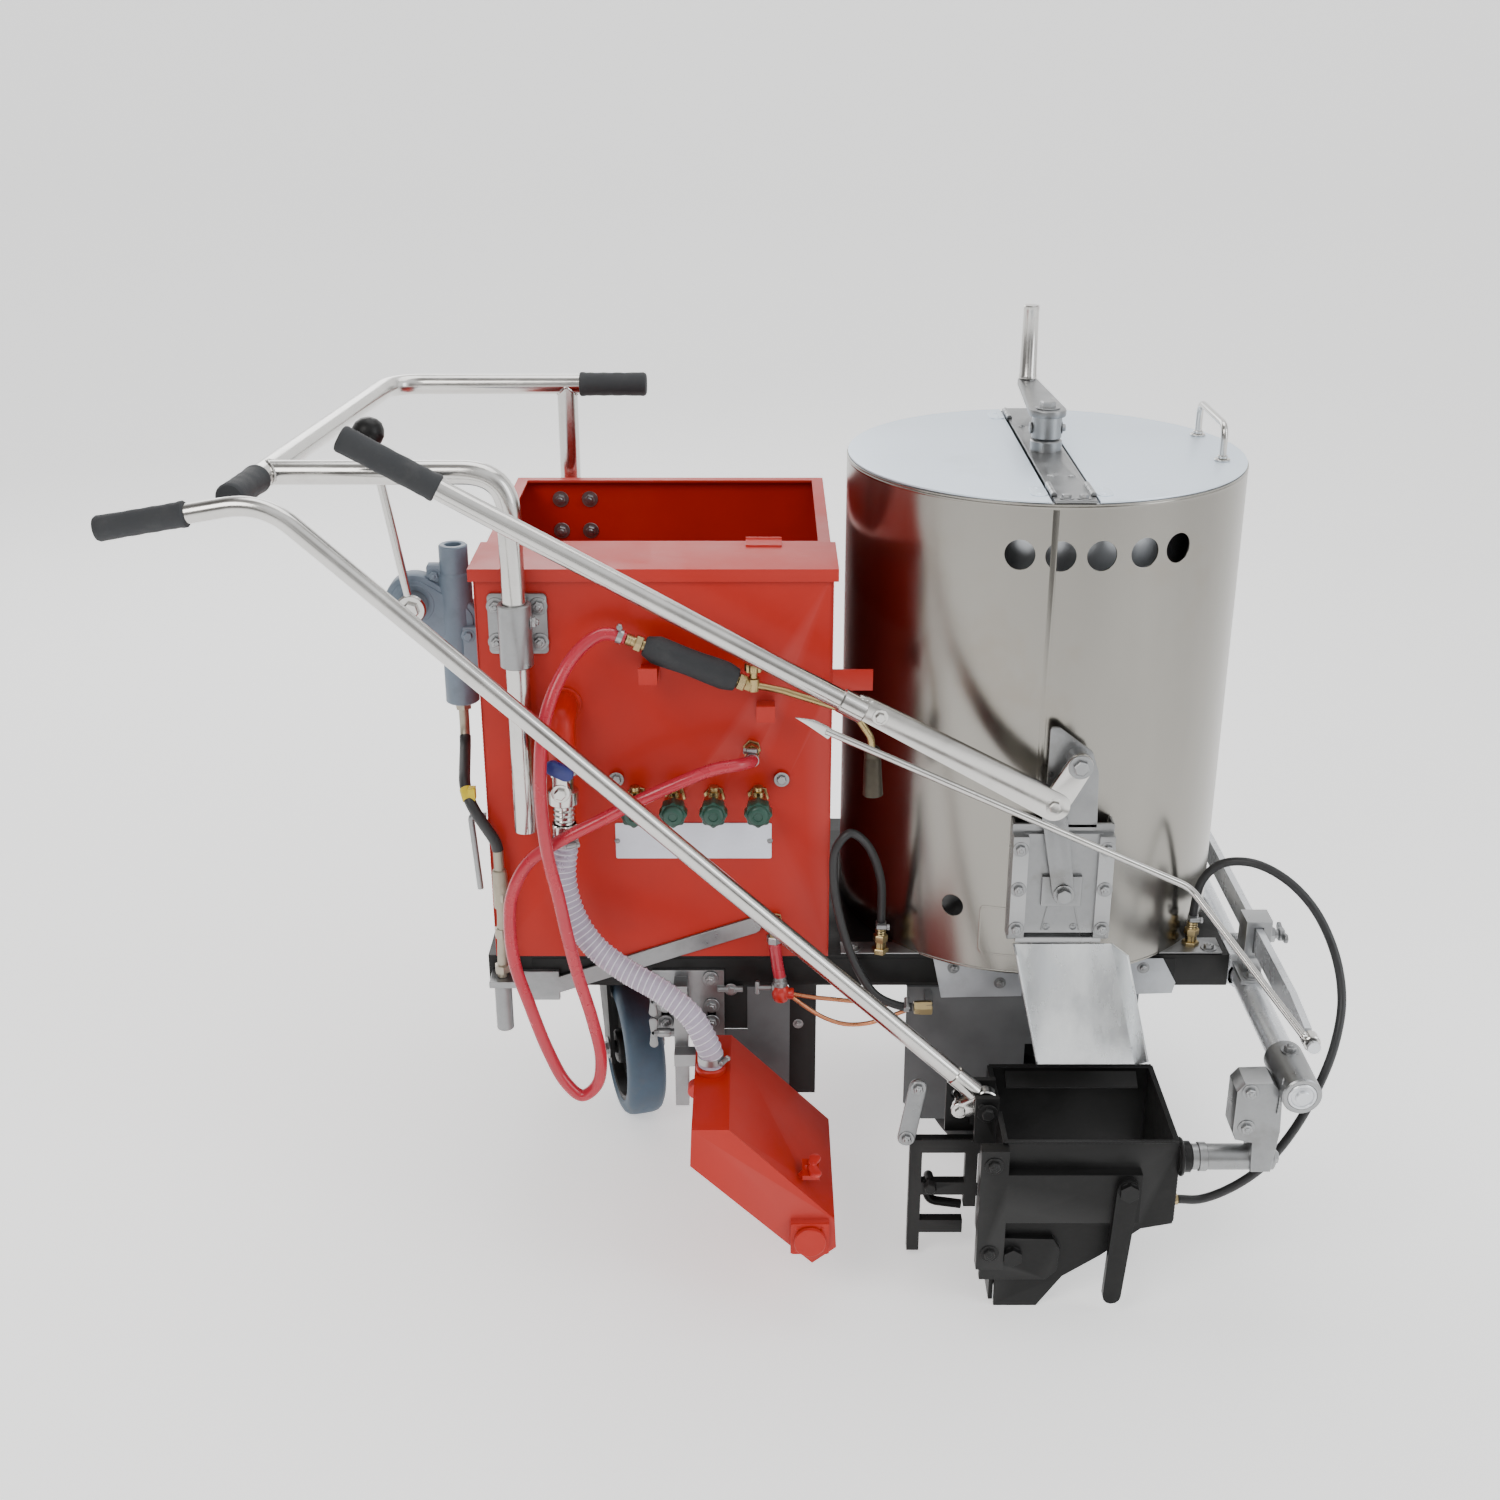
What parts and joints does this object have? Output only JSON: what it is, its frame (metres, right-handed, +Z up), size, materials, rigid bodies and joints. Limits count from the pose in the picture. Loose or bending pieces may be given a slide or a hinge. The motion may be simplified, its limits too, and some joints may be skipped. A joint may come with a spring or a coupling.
{
  "type": "line striping machine",
  "caption": "Hand-pushed thermoplastic road marking machine: stirred paint kettle, bead and gas cabinet, screed shoe, bead dispenser, caster and lever controls.",
  "frame": {"origin": "middle of the machine's footprint at ground level, hoses left out", "axes": "+X is the way it travels, +Y its left side (the shoe is on its right), +Z up"},
  "size_m": [1.3013, 0.697, 1.007],
  "materials": {
    "red_paint": "gloss powder coat",
    "black_paint": "satin black paint",
    "stainless": "brushed stainless sheet",
    "zinc": "zinc plated, matt",
    "chrome_tube": "polished tube",
    "grip_foam": "soft sleeve grip",
    "casting": "painted casting, blue-grey",
    "brass": "machined brass",
    "green_knob": "moulded plastic",
    "caster_tread": "blue-grey elastic tread",
    "tyre_rubber": "black rubber",
    "red_hose": "translucent red hose",
    "clear_hose": "clear hose with wire spiral",
    "black_hose": "black hose",
    "blue_handle": "dipped handle"
  },
  "bodies": {
    "chassis": {"chassis_frame": "black_paint", "front_axle": "zinc", "wheel_guard": "zinc", "kettle_shell": "stainless", "kettle_pot": "stainless", "burner_ring": "black_paint", "lid_bridge": "zinc", "gate_housing": "zinc", "chute": "stainless", "bead_box": "red_paint", "bead_outlet": "red_paint", "outlet_valve": "zinc", "gas_manifold": "brass", "torch_grip": "grip_foam", "torch_tube": "brass", "post_clamp_near": "zinc", "post_clamp_far": "zinc", "control_housing": "casting", "control_cable": "brass", "rear_stay": "zinc", "dispenser_hanger": "zinc", "dispenser_box": "red_paint", "front_rail": "zinc", "torch_hose": "red_hose", "shoe_hose_rear": "black_hose", "shoe_hose_front": "black_hose", "bead_hose": "clear_hose"},
    "handlebar": {"handlebar": "chrome_tube", "near_grip": "grip_foam", "far_grip": "grip_foam"},
    "discharge_lever": {"discharge_lever": "chrome_tube", "discharge_grip": "grip_foam"},
    "gate_plate": {"gate_plate": "zinc"},
    "gate_link": {"gate_link": "zinc"},
    "shoe": {"shoe_box": "black_paint", "shoe_arm": "zinc"},
    "shoe_lever": {"shoe_lever": "chrome_tube", "shoe_lever_grip": "grip_foam"},
    "shoe_gate": {"shoe_gate": "black_paint"},
    "crank": {"crank_arm": "zinc", "stirrer": "stainless"},
    "crank_grip": {"crank_grip": "zinc"},
    "lid_left": {"lid_left": "zinc"},
    "lid_right": {"lid_right": "zinc"},
    "hopper_lid": {"hopper_lid": "red_paint"},
    "outlet_handle": {"outlet_handle": "blue_handle"},
    "gas_knob_1": {"gas_knob_1": "green_knob"},
    "gas_knob_2": {"gas_knob_2": "green_knob"},
    "gas_knob_3": {"gas_knob_3": "green_knob"},
    "gas_knob_4": {"gas_knob_4": "green_knob"},
    "control_lever": {"control_lever": "chrome_tube", "control_knob": "black_paint"},
    "dispenser_roller": {"dispenser_roller": "stainless"},
    "pointer_bar": {"pointer_bar": "chrome_tube"},
    "pointer_rod": {"pointer_rod": "chrome_tube"},
    "caster_fork": {"caster_fork": "black_paint"},
    "caster_wheel": {"caster_tyre": "caster_tread", "caster_hub": "black_paint"},
    "front_wheel_near": {"front_wheel_near": "tyre_rubber"},
    "front_wheel_far": {"front_wheel_far": "tyre_rubber"}
  },
  "joints": [
    {"name": "handlebar_height", "type": "slide", "parent": "chassis", "child": "handlebar", "axis": [0, 0, 1], "range_m": [-0.06, 0.12]},
    {"name": "discharge_pivot", "type": "hinge", "parent": "chassis", "child": "discharge_lever", "pos_m": [0.3613, -0.1785, 0.594], "axis": [0, 1, 0], "range_deg": [0, 35]},
    {"name": "gate_slide", "type": "slide", "parent": "chassis", "child": "gate_plate", "axis": [0, 0, 1], "range_m": [0, 0.0286]},
    {"name": "link_pivot", "type": "hinge", "parent": "gate_plate", "child": "gate_link", "pos_m": [0.3543, -0.171, 0.438], "axis": [0, -1, 0], "range_deg": [0, 11.5]},
    {"name": "shoe_lift", "type": "hinge", "parent": "chassis", "child": "shoe", "pos_m": [0.5863, -0.3145, 0.29], "axis": [0, 1, 0], "range_deg": [0, 5]},
    {"name": "shoe_lever_pivot", "type": "hinge", "parent": "shoe", "child": "shoe_lever", "pos_m": [0.2703, -0.2445, 0.22], "axis": [0, 1, 0], "range_deg": [0, 20]},
    {"name": "shoe_gate_slide", "type": "slide", "parent": "shoe", "child": "shoe_gate", "axis": [0, 0, 1], "range_m": [0, 0.0103]},
    {"name": "crank_turn", "type": "hinge", "parent": "chassis", "child": "crank", "pos_m": [0.3453, 0.0855, 0.915], "axis": [0, 0, 1], "continuous": true},
    {"name": "crank_grip_spin", "type": "hinge", "parent": "crank", "child": "crank_grip", "pos_m": [0.3453, 0.2535, 0.96], "axis": [0, 0, 1], "continuous": true},
    {"name": "lid_left_hinge", "type": "hinge", "parent": "chassis", "child": "lid_left", "pos_m": [0.3248, 0.0855, 0.873], "axis": [0, 1, 0], "range_deg": [0, 88]},
    {"name": "lid_right_hinge", "type": "hinge", "parent": "chassis", "child": "lid_right", "pos_m": [0.3658, 0.0855, 0.873], "axis": [0, -1, 0], "range_deg": [0, 88]},
    {"name": "hopper_lid_hinge", "type": "hinge", "parent": "chassis", "child": "hopper_lid", "pos_m": [0.0253, 0.0095, 0.7883], "axis": [-1, 0, 0], "range_deg": [0, 105]},
    {"name": "outlet_handle_turn", "type": "hinge", "parent": "chassis", "child": "outlet_handle", "pos_m": [-0.1927, -0.1685, 0.559], "axis": [0, -1, 0], "range_deg": [0, 90]},
    {"name": "gas_knob_1_turn", "type": "hinge", "parent": "chassis", "child": "gas_knob_1", "pos_m": [-0.1167, -0.1445, 0.523], "axis": [0, -1, 0], "range_deg": [0, 270]},
    {"name": "gas_knob_2_turn", "type": "hinge", "parent": "chassis", "child": "gas_knob_2", "pos_m": [-0.0737, -0.1445, 0.523], "axis": [0, -1, 0], "range_deg": [0, 270]},
    {"name": "gas_knob_3_turn", "type": "hinge", "parent": "chassis", "child": "gas_knob_3", "pos_m": [-0.0297, -0.1445, 0.523], "axis": [0, -1, 0], "range_deg": [0, 270]},
    {"name": "gas_knob_4_turn", "type": "hinge", "parent": "chassis", "child": "gas_knob_4", "pos_m": [0.0193, -0.1445, 0.523], "axis": [0, -1, 0], "range_deg": [0, 270]},
    {"name": "control_lever_swing", "type": "hinge", "parent": "chassis", "child": "control_lever", "pos_m": [-0.3627, -0.0445, 0.725], "axis": [0, 1, 0], "range_deg": [0, 45]},
    {"name": "dispenser_roller_spin", "type": "hinge", "parent": "chassis", "child": "dispenser_roller", "pos_m": [0.0753, -0.2345, 0.103], "axis": [0, 1, 0], "continuous": true},
    {"name": "pointer_slide", "type": "slide", "parent": "chassis", "child": "pointer_bar", "axis": [0, -1, 0], "range_m": [0, 0.12]},
    {"name": "pointer_fold", "type": "hinge", "parent": "pointer_bar", "child": "pointer_rod", "pos_m": [0.5913, -0.3315, 0.35], "axis": [0, 1, 0], "range_deg": [0, 140]},
    {"name": "caster_swivel", "type": "hinge", "parent": "chassis", "child": "caster_fork", "pos_m": [-0.1547, 0.1255, 0.21], "axis": [0, 0, 1], "continuous": true},
    {"name": "caster_roll", "type": "hinge", "parent": "caster_fork", "child": "caster_wheel", "pos_m": [-0.1423, 0.08224, 0.09], "axis": [-0.9613, -0.2756, 0], "continuous": true},
    {"name": "front_wheel_near_roll", "type": "hinge", "parent": "chassis", "child": "front_wheel_near", "pos_m": [0.3453, -0.0345, 0.125], "axis": [0, 1, 0], "continuous": true},
    {"name": "front_wheel_far_roll", "type": "hinge", "parent": "chassis", "child": "front_wheel_far", "pos_m": [0.3453, 0.2275, 0.125], "axis": [0, 1, 0], "continuous": true}
  ],
  "couplings": [
    {"joint": "gate_slide", "follows": "discharge_pivot", "m_per_rad": 0.04666},
    {"joint": "link_pivot", "follows": "discharge_pivot", "ratio": 0.32571},
    {"joint": "shoe_gate_slide", "follows": "shoe_lever_pivot", "m_per_rad": 0.02922}
  ]
}
